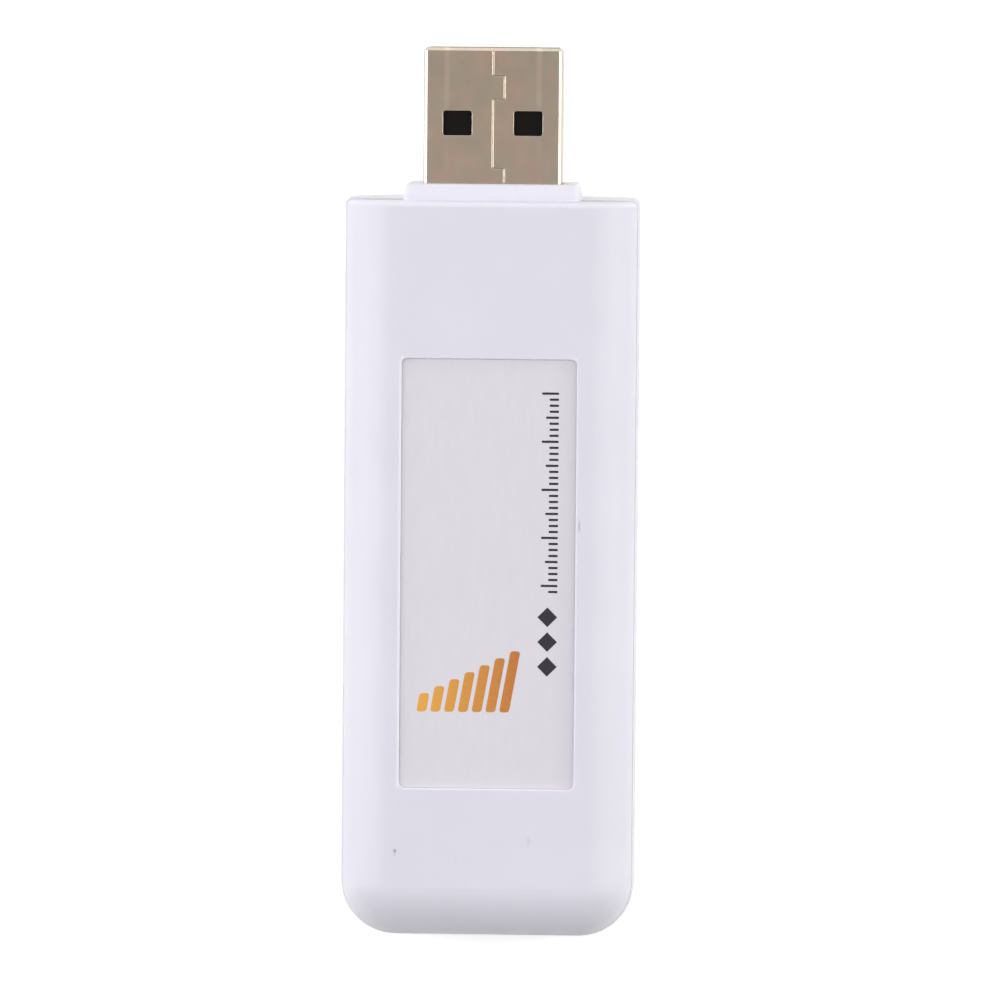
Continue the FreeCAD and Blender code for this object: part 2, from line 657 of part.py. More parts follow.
# Insulator: the black tongue on the seam side of the shell, its block behind, and a groove for each contact
plug_insulator = new_body("plug_insulator")
side_view = plane_sketch(plug_insulator, "insulator_side", "YZ_Plane")
block_low = f"({PLUG_INSIDE_BOTTOM} + {size('insulator_clearance')})"
outline(side_view, [("x", SHELL_REAR, None), ("y", block_low, None), ("x", TONGUE_ROOT, None),
                    ("y", TONGUE_FACE, None), ("x", TONGUE_TIP, None), ("y", PLUG_INSIDE_TOP, None)])
insulator_width = f"{size('plug_width')} - 2 * {size('sheet_thickness')} - 2 * {size('insulator_clearance')}"
pad(plug_insulator, "tongue_and_block", side_view, insulator_width, midplane=True)
tongue_tip_place, tongue_level = numeric(TONGUE_TIP), numeric(TONGUE_FACE)
top_level = numeric(PLUG_INSIDE_TOP)
bottom_level = numeric(block_low)
chamfer(plug_insulator, "tongue_lead_in", size("tongue_lead_in"),
        lambda box: same(box.YMin, tongue_tip_place) and same(box.ZMax, tongue_level))
fillet(plug_insulator, "insulator_long_edges", size("insulator_edge_radius"),
       lambda box: box.YLength > 1 and box.XLength < 1e-3 and box.ZLength < 1e-3
       and (same(box.ZMin, top_level) or same(box.ZMin, bottom_level)))

CONTACT_LOW = f"({TONGUE_FACE} - {size('contact_proud')})"
CONTACT_HIGH = f"({CONTACT_LOW} + {size('contact_thickness')})"


def contact_middles(spacing):
    return [f"({sign}{size(spacing)} / 2)" for sign in ("-", "")]


def contact_front(run):
    return f"({TONGUE_ROOT} + {size(run)})"


for name, spacing, run in (("outer_grooves", "outer_contact_spacing", "outer_contact_run"),
                           ("inner_grooves", "inner_contact_spacing", "inner_contact_run")):
    front = f"({contact_front(run)} + {size('contact_slot_clearance')})"
    grooves = plane_sketch(plug_insulator, name + "_section", "XZ_Plane", minus(front))
    half_slot = f"({size('contact_width')} / 2 + {size('contact_slot_clearance')})"
    for middle in contact_middles(spacing):
        rectangle(grooves, f"({middle} - {half_slot})", f"({middle} + {half_slot})",
                  f"({CONTACT_LOW} - {size('contact_slot_clearance')})", CONTACT_HIGH)
    pocket(plug_insulator, name, grooves, f"{front} - {SHELL_REAR} + {size('sheet_thickness')}", reverse=True)


# Contacts: four stamped strips that lie in the tongue, run out behind the block and step down to the board
def contact(label_text, middle, run):
    body = new_body(label_text)
    profile = plane_sketch(body, label_text + "_profile", "YZ_Plane", middle)
    tail_front = f"({SHELL_REAR} - {size('contact_tail_gap')})"
    tail_rear = f"({tail_front} - {size('contact_thickness')})"
    foot_end = f"({tail_rear} - {size('contact_foot')})"
    foot_top = f"({BOARD_TOP} + {size('contact_thickness')})"
    inner_bend = size("contact_bend_radius")
    outer_bend = f"({size('contact_bend_radius')} + {size('contact_thickness')})"
    outline(profile, [("x", contact_front(run), None), ("y", CONTACT_HIGH, outer_bend),
                      ("x", tail_rear, inner_bend), ("y", foot_top, None), ("x", foot_end, None),
                      ("y", BOARD_TOP, outer_bend), ("x", tail_front, inner_bend), ("y", CONTACT_LOW, None)])
    pad(body, label_text + "_strip", profile, size("contact_width"), midplane=True)
    return body


left_outer, right_outer = contact_middles("outer_contact_spacing")
left_inner, right_inner = contact_middles("inner_contact_spacing")
contact("contact_supply", left_outer, "outer_contact_run")
contact("contact_data_minus", left_inner, "inner_contact_run")
contact("contact_data_plus", right_inner, "inner_contact_run")
contact("contact_ground", right_outer, "outer_contact_run")

# Antenna places are needed for the board's holes too
COIL_RADIUS = size("antenna_coil_radius")
WIRE_RADIUS = f"({size('antenna_wire')} / 2)"
COIL_LENGTH = f"({size('antenna_pitch')} * {TURN_COUNT})"
COIL_Y = f"({BOARD_REAR} + {size('antenna_from_board_end')})"
COIL_Z = f"({BOARD_TOP} + {size('antenna_rise')} + {WIRE_RADIUS} + {COIL_RADIUS})"

# Circuit board
circuit_board = new_body("circuit_board")
board_plan = plane_sketch(circuit_board, "board_plan", "XY_Plane", BOARD_BOTTOM)
board_corner = f"({CAVITY_CORNER} - {size('board_rim_clearance')})"
outline(board_plan, [("x", BOARD_HALF, None), ("y", BOARD_FRONT, None),
                     ("x", minus(BOARD_HALF), board_corner), ("y", BOARD_REAR, board_corner)])
pad(circuit_board, "board", board_plan, size("board_thickness"))
holes = plane_sketch(circuit_board, "board_holes", "XY_Plane", BOARD_TOP)
for place_x, place_y in post_places():
    circle(holes, place_x, place_y, HOLE_RADIUS)
for sign in ("-", ""):
    circle(holes, f"({sign}{COIL_LENGTH} / 2)", COIL_Y, f"({WIRE_RADIUS} + {size('antenna_hole_clearance')})")
for low, high in ((minus(shell_half), minus(sheet_inside)), (sheet_inside, shell_half)):
    rectangle(holes, f"({low} - {size('peg_clearance')})", f"({high} + {size('peg_clearance')})",
              f"({peg_rear} - {size('peg_clearance')})",
              f"({peg_rear} + {size('peg_width')} + {size('peg_clearance')})")
pocket(circuit_board, "through_holes", holes)


# Parts on the board
def part_place(part):
    return size(part + "_side"), f"({BOARD_FRONT} - {size(part + '_behind')})"


def centred_rectangle(sketch, x, y, width, length, radius=None):
    rectangle(sketch, f"({x} - {width} / 2)", f"({x} + {width} / 2)", f"({y} - {length} / 2)",
              f"({y} + {length} / 2)", radius)


def flat_package(label_text, part):
    """A leadless package: a moulded block with a bevelled top."""
    body = new_body(label_text)
    x, y = part_place(part)
    plan = plane_sketch(body, label_text + "_plan", "XY_Plane", BOARD_TOP)
    centred_rectangle(plan, x, y, size(part + "_width"), size(part + "_length"))
    pad(body, label_text + "_block", plan, size(part + "_height"))
    top = numeric(f"{BOARD_TOP} + {size(part + '_height')}")
    chamfer(body, label_text + "_bevel", size("package_chamfer"), lambda box: same(box.ZMin, top))


def leaded_package(label_text, part, lead_width, lead_pitch, pairs):
    """A moulded block carried on bent leads along both long sides, which stand on the board."""
    body = new_body(label_text)
    x, y = part_place(part)
    width, length, height = size(part + "_width"), size(part + "_length"), size(part + "_height")
    lift = size("package_lift")
    plan = plane_sketch(body, label_text + "_plan", "XY_Plane", f"({BOARD_TOP} + {lift})")
    centred_rectangle(plan, x, y, width, length)
    pad(body, label_text + "_block", plan, f"{height} - {lift}")
    top = numeric(f"{BOARD_TOP} + {height}")
    chamfer(body, label_text + "_bevel", size("package_chamfer"), lambda box: same(box.ZMin, top))
    half, thickness = f"({width} / 2)", size("lead_thickness")
    first = f"({y} - {lead_pitch} * {pairs - 1} / 2)"
    leads = plane_sketch(body, label_text + "_lead_profile", "XZ_Plane", minus(first))
    rise_top = f"({BOARD_TOP} + {size('lead_rise')})"
    for side in (-1, 1):
        def out(reach):
            return f"({x} + {side} * ({half} + {reach}))"
        knee = size("lead_shank")
        toe = f"{knee} + {size('lead_foot')}"
        embed = f"-{thickness}"
        outline(leads, [("x", out(embed), None), ("y", rise_top, None), ("x", out(knee), None),
                        ("y", f"({BOARD_TOP} + {thickness})", None), ("x", out(toe), None),
                        ("y", BOARD_TOP, None), ("x", out(f"{knee} - {thickness}"), None),
                        ("y", f"({rise_top} - {thickness})", None)])
    lead_pair = pad(body, label_text + "_leads", leads, lead_width, midplane=True)
    pattern = body.newObject("PartDesign::LinearPattern", label_text + "_lead_row")
    pattern.Originals = [lead_pair]
    pattern.Direction = (leads, ["N_Axis"])
    pattern.Reversed = True
    pattern.setExpression("Length", f"{lead_pitch} * {pairs - 1}")
    pattern.Occurrences = pairs
    body.Tip = pattern
    document.recompute()


flat_package("controller_chip", "controller")
flat_package("transceiver_chip", "transceiver")
flat_package("radio_crystal", "radio_crystal")
flat_package("supply_ferrite", "ferrite")
leaded_package("memory_chip", "memory", size("memory_lead_width"), size("memory_lead_pitch"),
               MEMORY_LEAD_COUNT)
leaded_package("surge_protector", "protector", size("protector_lead_width"), size("protector_lead_pitch"),
               PROTECTOR_LEAD_COUNT)

# Voltage regulator: a power package with three leads at one side and a cooling tab at the other
voltage_regulator = new_body("voltage_regulator")
regulator_x, regulator_y = part_place("regulator")
regulator_plan = plane_sketch(voltage_regulator, "regulator_plan", "XY_Plane", BOARD_TOP)
centred_rectangle(regulator_plan, regulator_x, regulator_y, size("regulator_width"), size("regulator_length"))
pad(voltage_regulator, "regulator_block", regulator_plan, size("regulator_height"))
regulator_top = numeric(f"{BOARD_TOP} + {size('regulator_height')}")
chamfer(voltage_regulator, "regulator_bevel", size("package_chamfer"),
        lambda box: same(box.ZMin, regulator_top))
metal = plane_sketch(voltage_regulator, "regulator_metal_plan", "XY_Plane", BOARD_TOP)
half_length = f"({size('regulator_length')} / 2)"
lead_end = f"({regulator_y} - {half_length} - {size('regulator_lead_reach')})"
tab_end = f"({regulator_y} + {half_length} + {size('regulator_lead_reach')})"
centred_rectangle(metal, regulator_x, f"({regulator_y} + {half_length})", size("regulator_tab_width"),
                  f"(2 * {size('regulator_lead_reach')})")
for step in (-1, 0, 1):
    centred_rectangle(metal, f"({regulator_x} + {step} * {size('regulator_lead_pitch')})",
                      f"({regulator_y} - {half_length})", size("regulator_lead_width"),
                      f"(2 * {size('regulator_lead_reach')})")
pad(voltage_regulator, "regulator_metal", metal, size("lead_thickness"))

# Clock crystal: a drawn metal can on a wider stadium flange
clock_crystal = new_body("clock_crystal")
can_x, can_y = part_place("clock_can")
can_width, can_length = size("clock_can_width"), size("clock_can_length")
flange_plan = plane_sketch(clock_crystal, "flange_plan", "XY_Plane", BOARD_TOP)
centred_rectangle(flange_plan, can_x, can_y, can_width, can_length,
                  f"(({can_length} - {size('can_end_flat')}) / 2)")
pad(clock_crystal, "flange", flange_plan, size("can_flange_height"))
can_plan = plane_sketch(clock_crystal, "can_plan", "XY_Plane", BOARD_TOP)
inner_width = f"({can_width} - 2 * {size('can_flange_width')})"
inner_length = f"({can_length} - 2 * {size('can_flange_width')})"
centred_rectangle(can_plan, can_x, can_y, inner_width, inner_length,
                  f"(({inner_length} - {size('can_end_flat')}) / 2)")
pad(clock_crystal, "can", can_plan, size("clock_can_height"))
can_top = numeric(f"{BOARD_TOP} + {size('clock_can_height')}")
chamfer(clock_crystal, "can_top_edge", size("can_top_bevel"), lambda box: same(box.ZMin, can_top))


def box_group(label_text, part, places):
    """Small square components that share one node, each its own solid."""
    boxes = []
    for index, (x, y) in enumerate(places, start=1):
        box = document.addObject("Part::Box", f"{label_text}_{index}")
        width, length = size(part + "_width"), size(part + "_length")
        box.setExpression("Length", width)
        box.setExpression("Width", length)
        box.setExpression("Height", size(part + "_height"))
        box.setExpression("Placement.Base.x", f"{x} - {width} / 2")
        box.setExpression("Placement.Base.y", f"{y} - {length} / 2")
        box.setExpression("Placement.Base.z", BOARD_TOP)
        boxes.append(box)
    group = document.addObject("Part::Compound", label_text + "_group")
    group.Links = boxes
    group.Label = label_text
    return group


def row_places(part, pitch, count, behind="0"):
    x, y = part_place(part)
    return [(f"({x} + {index} * {pitch})", f"({y} - {behind})") for index in range(count)]


near_row = row_places("capacitor", size("capacitor_pitch"), CAPACITOR_COUNT)
far_row = row_places("capacitor", size("capacitor_pitch"), CAPACITOR_COUNT, size("capacitor_row_gap"))
capacitors = box_group("chip_capacitors", "capacitor", near_row + far_row)
resistors = box_group("chip_resistors", "resistor",
                      row_places("resistor", size("resistor_pitch"), RESISTOR_COUNT))
inductors = box_group("matching_inductors", "inductor",
                      row_places("inductor", size("inductor_pitch"), INDUCTOR_COUNT))

# Antenna: a wire coil across the far end of the board, with a leg down through it at each end. The coil is
# wound in short chords, and starts and ends at its lowest point
coil_radius, coil_pitch = numeric(COIL_RADIUS), numeric(size("antenna_pitch"))
coil_start = FreeCAD.Vector(numeric(f"-{COIL_LENGTH} / 2"), numeric(COIL_Y), numeric(COIL_Z))
coil_line = document.addObject("Part::Polygon", "antenna_line")
coil_line.Nodes = [
    coil_start + FreeCAD.Vector(coil_pitch * chord / CHORD_COUNT,
                                coil_radius * math.sin(2 * math.pi * chord / CHORD_COUNT),
                                -coil_radius * math.cos(2 * math.pi * chord / CHORD_COUNT))
    for chord in range(CHORD_COUNT * TURN_COUNT + 1)
]
first_chord = coil_line.Nodes[1] - coil_line.Nodes[0]
wire_section = document.addObject("Part::RegularPolygon", "antenna_section")
wire_section.Polygon = WIRE_SIDE_COUNT
wire_section.setExpression("Circumradius", WIRE_RADIUS)
wire_section.Placement = FreeCAD.Placement(coil_line.Nodes[0],
                                           FreeCAD.Rotation(FreeCAD.Vector(0, 0, 1), first_chord))
document.recompute()
coil = document.addObject("Part::Sweep", "antenna_turns")
coil.Sections = [wire_section]
coil.Spine = (coil_line, [])
coil.Solid = True
coil.Frenet = False
coil.Transition = "Right corner"
antenna_pieces = [coil]
for name, sign in (("left_leg", "-"), ("right_leg", "")):
    leg = document.addObject("Part::Prism", name)
    leg_foot = f"({BOARD_BOTTOM} - {size('antenna_leg_below_board')})"
    leg.Polygon = WIRE_SIDE_COUNT
    leg.setExpression("Circumradius", WIRE_RADIUS)
    leg.setExpression("Height", f"{COIL_Z} - {COIL_RADIUS} - {leg_foot}")
    leg.setExpression("Placement.Base.x", f"{sign}{COIL_LENGTH} / 2")
    leg.setExpression("Placement.Base.y", COIL_Y)
    leg.setExpression("Placement.Base.z", leg_foot)
    antenna_pieces.append(leg)
antenna = document.addObject("Part::MultiFuse", "antenna")
antenna.Shapes = antenna_pieces
antenna.Label = "antenna_coil"

document.recompute()

nodes = document.findObjects("PartDesign::Body") + [capacitors, resistors, inductors, antenna]
for item in document.Objects:
    if "Invalid" in item.State or "Error" in item.State:
        raise RuntimeError(f"{item.Label} is {item.State}")
for node in nodes:
    if node.Shape.isNull() or not node.Shape.isValid() or not node.Shape.Solids:
        raise RuntimeError(f"{node.Label} has no valid solid")

os.makedirs("parts", exist_ok=True)
for node in nodes:
    node.Shape.exportStep(f"parts/{node.Label}.step")
    print(node.Label, len(node.Shape.Solids), round(node.Shape.Volume, 3))
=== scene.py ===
import math

import bmesh
import bpy
from mathutils import Matrix, Vector


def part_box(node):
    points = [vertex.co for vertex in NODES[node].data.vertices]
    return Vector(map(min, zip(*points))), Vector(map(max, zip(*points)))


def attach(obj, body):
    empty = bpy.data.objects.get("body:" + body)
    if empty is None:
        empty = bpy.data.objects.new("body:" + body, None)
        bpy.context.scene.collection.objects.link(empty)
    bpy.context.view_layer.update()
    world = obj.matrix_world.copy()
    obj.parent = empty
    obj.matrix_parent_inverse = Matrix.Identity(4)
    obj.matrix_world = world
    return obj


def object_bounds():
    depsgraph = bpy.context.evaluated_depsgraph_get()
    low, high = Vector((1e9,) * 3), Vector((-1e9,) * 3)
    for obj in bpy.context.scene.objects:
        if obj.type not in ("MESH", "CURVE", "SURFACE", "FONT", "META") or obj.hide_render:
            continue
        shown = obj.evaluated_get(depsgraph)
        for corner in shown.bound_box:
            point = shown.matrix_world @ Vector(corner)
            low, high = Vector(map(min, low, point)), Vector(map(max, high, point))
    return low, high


# Looks of a white usb radio adapter that lies on its back: two case halves of moulded white plastic, a
# printed film in the front recess, and a folded steel plug. Named lengths are millimetres, and Blender works
# in metres.

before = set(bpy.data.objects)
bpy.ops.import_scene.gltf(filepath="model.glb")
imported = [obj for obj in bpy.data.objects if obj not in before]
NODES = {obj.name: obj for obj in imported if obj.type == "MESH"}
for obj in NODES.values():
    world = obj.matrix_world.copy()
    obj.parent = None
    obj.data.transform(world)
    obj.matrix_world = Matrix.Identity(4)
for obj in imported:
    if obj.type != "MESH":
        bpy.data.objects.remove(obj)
CAD_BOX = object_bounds()
MM = 0.001

# View: where the photograph's camera stood
IMAGE_SIDE = 1000
PIXELS_PER_MM = 11.5
OBJECT_MIDDLE_PIXEL = (490.9, 491.8)
CAMERA_DISTANCE = 700.0
LEAN_TO_PLUG = math.radians(4.3)
LEAN_TO_RIGHT = math.radians(2.3)
ROLL = math.radians(0.47)
SENSOR = 36.0
CLIP_RANGE = (0.05, 20.0)

# Light: the world's level from the far end and from the plug end, and each lamp's place and size in metres,
# its tint, and its radiance, where 1 is white
WHITE = 1.0
WORLD_FROM_FAR_END = 0.03
WORLD_FROM_PLUG_END = 0.86
SOFTBOXES = (
    ("left_softbox", (-0.44, 0.02, 0.29), (0.30, 0.62), (1.0, 0.985, 1.0), 3.36),
    ("right_softbox", (0.44, 0.02, 0.29), (0.30, 0.62), (1.0, 0.985, 0.97), 3.11),
    ("plug_end_softbox", (0.0, 0.50, 0.14), (0.5, 0.20), (1.0, 1.0, 0.97), 1.6),
)
CARD_PLACE = (-0.04, 0.0, 0.95)
CARD_HALF = 0.3
CARD_COLOUR = (0.575, 0.502, 0.468, 1.0)


def linear(red, green, blue):
    """A colour given as screen values from 0 to 255, as the linear colour that a shader takes."""
    def channel(value):
        share = value / 255
        return share / 12.92 if share <= 0.04045 else ((share + 0.055) / 1.055) ** 2.4
    return (channel(red), channel(green), channel(blue), 1.0)


def scaled(colour, factor):
    return tuple(min(1.0, value * factor) for value in colour[:3]) + (1.0,)


EDGE_SAMPLES = 6
RANGE_SOCKETS = ("From Min", "From Max", "To Min", "To Max")


class Surface:
    """A Principled material with short calls for the nodes that give it its pattern."""

    def __init__(self, name):
        self.material = bpy.data.materials.new(name)
        self.material.use_nodes = True
        self.nodes = self.material.node_tree.nodes
        self.links = self.material.node_tree.links
        self.shader = next(node for node in self.nodes if node.type == "BSDF_PRINCIPLED")
        self.place = self.nodes.new("ShaderNodeTexCoord").outputs["Object"]

    def set(self, **sockets):
        for name, value in sockets.items():
            self.shader.inputs[name.replace("_", " ")].default_value = value
        return self

    def plug(self, output, socket):
        self.links.new(output, self.shader.inputs[socket])

    def stretched(self, along):
        """Object coordinates times a factor along each axis: a small factor draws a pattern out."""
        mapping = self.nodes.new("ShaderNodeMapping")
        mapping.inputs["Scale"].default_value = along
        self.links.new(self.place, mapping.inputs["Vector"])
        return mapping.outputs["Vector"]

    def noise(self, size_mm, detail=4.0, along=None):
        """Noise whose blotches are about size_mm across."""
        noise = self.nodes.new("ShaderNodeTexNoise")
        noise.inputs["Scale"].default_value = 1 / (size_mm * MM)
        noise.inputs["Detail"].default_value = detail
        self.links.new(self.stretched(along) if along else self.place, noise.inputs["Vector"])
        return noise.outputs["Fac"]

    def wave(self, axis, per_mm):
        """The sine of one object coordinate in millimetres times per_mm."""
        return self.math("SINE", self.math("MULTIPLY", self.axis(axis), per_mm))

    def ranged(self, value, low, high, from_low=0.3, from_high=0.7):
        node = self.nodes.new("ShaderNodeMapRange")
        self.links.new(value, node.inputs["Value"])
        for socket, number in zip(RANGE_SOCKETS, (from_low, from_high, low, high)):
            node.inputs[socket].default_value = number
        return node.outputs["Result"]

    def mix(self, factor, first, second):
        node = self.nodes.new("ShaderNodeMix")
        node.data_type = "RGBA"
        self.feed(node.inputs[0], factor)
        self.feed(node.inputs[6], first)
        self.feed(node.inputs[7], second)
        return node.outputs[2]

    def feed(self, socket, value):
        if isinstance(value, bpy.types.NodeSocket):
            self.links.new(value, socket)
        else:
            socket.default_value = value

    def math(self, operation, first, second=0.0):
        node = self.nodes.new("ShaderNodeMath")
        node.operation = operation
        self.feed(node.inputs[0], first)
        self.feed(node.inputs[1], second)
        return node.outputs[0]

    def axis(self, name):
        """One object coordinate, in millimetres."""
        split = self.nodes.new("ShaderNodeSeparateXYZ")
        self.links.new(self.place, split.inputs[0])
        return self.math("MULTIPLY", split.outputs[name], 1 / MM)

    def spot(self, x, y, half_width, half_length, softness=0.5):
        """1 inside an upright ellipse round (x, y), falling to 0 round it. Millimetres."""
        across = self.math("DIVIDE", self.math("SUBTRACT", self.axis("X"), x), half_width)
        along = self.math("DIVIDE", self.math("SUBTRACT", self.axis("Y"), y), half_length)
        squares = self.math("ADD", self.math("MULTIPLY", across, across), self.math("MULTIPLY", along, along))
        return self.ranged(squares, 1.0, 0.0, 1 - softness, 1 + softness)

    def patch(self, x_low, x_high, y_low, y_high, softness=0.04):
        """1 inside an upright rectangle, falling to 0 across its edges. Millimetres."""
        inside = None
        for name, low, high in (("X", x_low, x_high), ("Y", y_low, y_high)):
            past_low = self.math("SUBTRACT", self.axis(name), low)
            before_high = self.math("SUBTRACT", high, self.axis(name))
            both = self.math("MINIMUM", past_low, before_high)
            inside = both if inside is None else self.math("MINIMUM", inside, both)
        return self.ranged(inside, 0.0, 1.0, -softness, softness)

    def bump(self, height, depth_mm, strength=1.0, rounding_mm=None):
        node = self.nodes.new("ShaderNodeBump")
        node.inputs["Strength"].default_value = strength
        node.inputs["Distance"].default_value = depth_mm * MM
        self.links.new(height, node.inputs["Height"])
        if rounding_mm:
            edge = self.nodes.new("ShaderNodeBevel")
            edge.samples = EDGE_SAMPLES
            edge.inputs["Radius"].default_value = rounding_mm * MM
            self.links.new(edge.outputs["Normal"], node.inputs["Normal"])
        self.plug(node.outputs["Normal"], "Normal")
        return self


# Surfaces
CASE_COLOUR = linear(228, 227, 236)
LABEL_COLOUR = linear(221, 218, 226)
LIGHT_DEPTH = 0.2
# Where the label's painted shade starts and where it is fullest, across, in millimetres
SHADE_STARTS = 5.4
SHADE_ENDS = 7.0
STEEL_COOL = (0.555, 0.515, 0.420, 1.0)
STEEL_WARM = (0.632, 0.512, 0.420, 1.0)
STEEL_HAZE = (0.535, 0.500, 0.420, 1.0)
STEEL_RUBBED = (0.690, 0.600, 0.505, 1.0)
STEEL_DARKER_TONE = (0.300, 0.262, 0.215, 1.0)
MOST_DARKENING = 0.08
STEEL_NECK_END = 27.0
STEEL_TIP_END = 38.6
ROUGHNESS_SPREAD = 0.05
WEAVE_PER_MM = 12.0
MASK_LOW = linear(22, 92, 52)
MASK_HIGH = linear(30, 110, 62)
BAND_ASIDE = 4.0
BAND_HALF = 0.32
BAND_END = 33.4
BAND_FADE = 0.4
BAND_FAINT = 0.15
BAND_STRONG = 0.6


def case_plastic(name, painted_highlights=(), specks=()):
    """Satin white plastic that light enters a little, with a faint mould texture, painted highlights along
    rims, and specks.
    """
    surface = Surface(name).set(IOR=1.46, Subsurface_Weight=1.0, Subsurface_Radius=(1.0, 1.0, 1.0),
                                Subsurface_Scale=LIGHT_DEPTH * MM)
    cloud = surface.ranged(surface.noise(size_mm=9.0, detail=3.0), low=0.0, high=1.0)
    colour = surface.mix(cloud, scaled(CASE_COLOUR, 0.985), scaled(CASE_COLOUR, 1.012))
    # Painted highlights: each rim patch mixes the colour towards a lighter one.
    for x_low, x_high, y_low, y_high, gain in painted_highlights:
        lighter = scaled(CASE_COLOUR, gain)
        colour = surface.mix(surface.patch(x_low, x_high, y_low, y_high), colour, lighter)
    for x, y, half_width, half_length, dirt, cover in specks:
        mark = surface.math("MULTIPLY", surface.spot(x, y, half_width, half_length), cover)
        colour = surface.mix(mark, colour, dirt)
    surface.plug(colour, "Base Color")
    mottle = surface.noise(size_mm=1.6, detail=5.0)
    surface.plug(surface.ranged(mottle, low=0.36, high=0.46), "Roughness")
    grain = surface.noise(size_mm=0.16, detail=3.0)
    return surface.bump(grain, depth_mm=0.006, strength=0.35, rounding_mm=0.12).material


def label_film():
    """The label's film: a little greyer and glossier than the case, with the paper's faint fibre under it,
    and a painted shade towards its right edge.
    """
    surface = Surface("label_film").set(IOR=1.5)
    threads = surface.noise(size_mm=0.5, detail=6.0, along=(1.0, 0.3, 1.0))
    fibre = surface.ranged(threads, low=0.0, high=1.0)
    colour = surface.mix(fibre, scaled(LABEL_COLOUR, 0.985), scaled(LABEL_COLOUR, 1.01))
    # Painted shade: the colour darkens towards the label's right edge, where the recess wall would shade it.
    aside = surface.ranged(surface.axis("X"), 0.0, 1.0, from_low=SHADE_STARTS, from_high=SHADE_ENDS)
    surface.plug(surface.mix(aside, colour, scaled(LABEL_COLOUR, 0.945)), "Base Color")
    surface.plug(surface.ranged(surface.noise(size_mm=3.0), low=0.34, high=0.40), "Roughness")
    grain = surface.noise(size_mm=0.25, detail=3.0)
    return surface.bump(grain, depth_mm=0.004, strength=0.2).material


def plug_steel():
    """Nickel-plated steel sheet: satin, with warm and cool clouds, a little darker towards the tip, and two
    faint rubbed bands.
    """
    surface = Surface("plug_steel").set(Metallic=1.0)
    blotches = surface.noise(size_mm=3.4, detail=2.0)
    cloud = surface.ranged(blotches, low=0.0, high=1.0, from_low=0.38, from_high=0.62)
    colour = surface.mix(cloud, STEEL_COOL, STEEL_WARM)
    breath = surface.noise(size_mm=2.0, detail=3.0, along=(1.0, 0.7, 1.0))
    haze = surface.ranged(breath, low=0.0, high=0.6, from_low=0.4, from_high=0.65)
    colour = surface.mix(haze, colour, STEEL_HAZE)
    # The colour grows a little darker towards the tip.
    darker_towards_tip = surface.ranged(surface.axis("Y"), 0.0, MOST_DARKENING,
                             from_low=STEEL_NECK_END, from_high=STEEL_TIP_END)
    colour = surface.mix(darker_towards_tip, colour, STEEL_DARKER_TONE)
    aside = surface.math("SUBTRACT", surface.math("ABSOLUTE", surface.axis("X")), BAND_ASIDE)
    squared = surface.math("MULTIPLY", aside, aside)
    across = surface.ranged(squared, low=1.0, high=0.0, from_low=0.0, from_high=BAND_HALF ** 2)
    along = surface.ranged(surface.axis("Y"), BAND_FAINT, BAND_STRONG,
                           from_low=BAND_END - BAND_FADE, from_high=BAND_END + BAND_FADE)
    colour = surface.mix(surface.math("MULTIPLY", across, along), colour, STEEL_RUBBED)
    surface.plug(colour, "Base Color")
    streaks = surface.noise(size_mm=0.9, detail=3.0, along=(1.0, 0.6, 1.0))
    surface.plug(surface.ranged(streaks, low=0.21, high=0.26), "Roughness")
    grain = surface.noise(size_mm=0.12, detail=4.0, along=(1.0, 0.3, 1.0))
    return surface.bump(grain, depth_mm=0.004, strength=0.12, rounding_mm=0.065).material


def speckled(name, colour, grain_mm, spread, roughness, depth_mm, metallic=0.0, along=None, specular=0.5):
    """A plain solid finish with its own grain: moulded black, ceramic or plating."""
    surface = Surface(name).set(Metallic=metallic, Specular_IOR_Level=specular)
    grain = surface.noise(grain_mm, detail=5.0, along=along)
    shade = surface.ranged(grain, low=0.0, high=1.0)
    surface.plug(surface.mix(shade, scaled(colour, 1 - spread), scaled(colour, 1 + spread)), "Base Color")
    lowest, highest = roughness - ROUGHNESS_SPREAD, roughness + ROUGHNESS_SPREAD
    surface.plug(surface.ranged(grain, lowest, highest), "Roughness")
    return surface.bump(grain, depth_mm, strength=0.4).material


def board_laminate():
    """Green solder mask over a glass weave."""
    surface = Surface("board_laminate").set(Coat_Weight=0.3, Coat_Roughness=0.2)
    weave = surface.math("MULTIPLY", surface.wave("X", WEAVE_PER_MM), surface.wave("Y", WEAVE_PER_MM))
    shade = surface.ranged(weave, low=0.0, high=1.0, from_low=-1.0, from_high=1.0)
    surface.plug(surface.mix(shade, MASK_LOW, MASK_HIGH), "Base Color")
    surface.plug(surface.ranged(surface.noise(size_mm=2.0), low=0.35, high=0.5), "Roughness")
    return surface.bump(weave, depth_mm=0.004, strength=0.3).material


def printed(name, low_colour, high_colour, low_x, high_x, grain_colour):
    """Screen-printed ink whose colour grades across the label, with a fine grain."""
    surface = Surface(name)
    across = surface.ranged(surface.axis("X"), 0.0, 1.0, from_low=low_x, from_high=high_x)
    grade = surface.mix(across, low_colour, high_colour)
    grain = surface.ranged(surface.noise(size_mm=0.12, detail=2.0), low=0.0, high=0.16)
    surface.plug(surface.mix(grain, grade, grain_colour), "Base Color")
    surface.plug(surface.ranged(surface.noise(size_mm=0.3), low=0.34, high=0.44), "Roughness")
    return surface.bump(surface.noise(size_mm=0.1), depth_mm=0.002, strength=0.3).material


# Painted highlights on the rounded rims of the recess and on the neck's root, which gleam a little: the range
# across and along, and how much lighter
CASE_PAINTED_HIGHLIGHTS = (
    (-7.80, -7.55, -25.30, 11.80, 1.06),
    (-7.60, 7.60, 11.84, 11.99, 1.14),
    (-7.50, 7.50, 25.36, 25.62, 1.08),
)

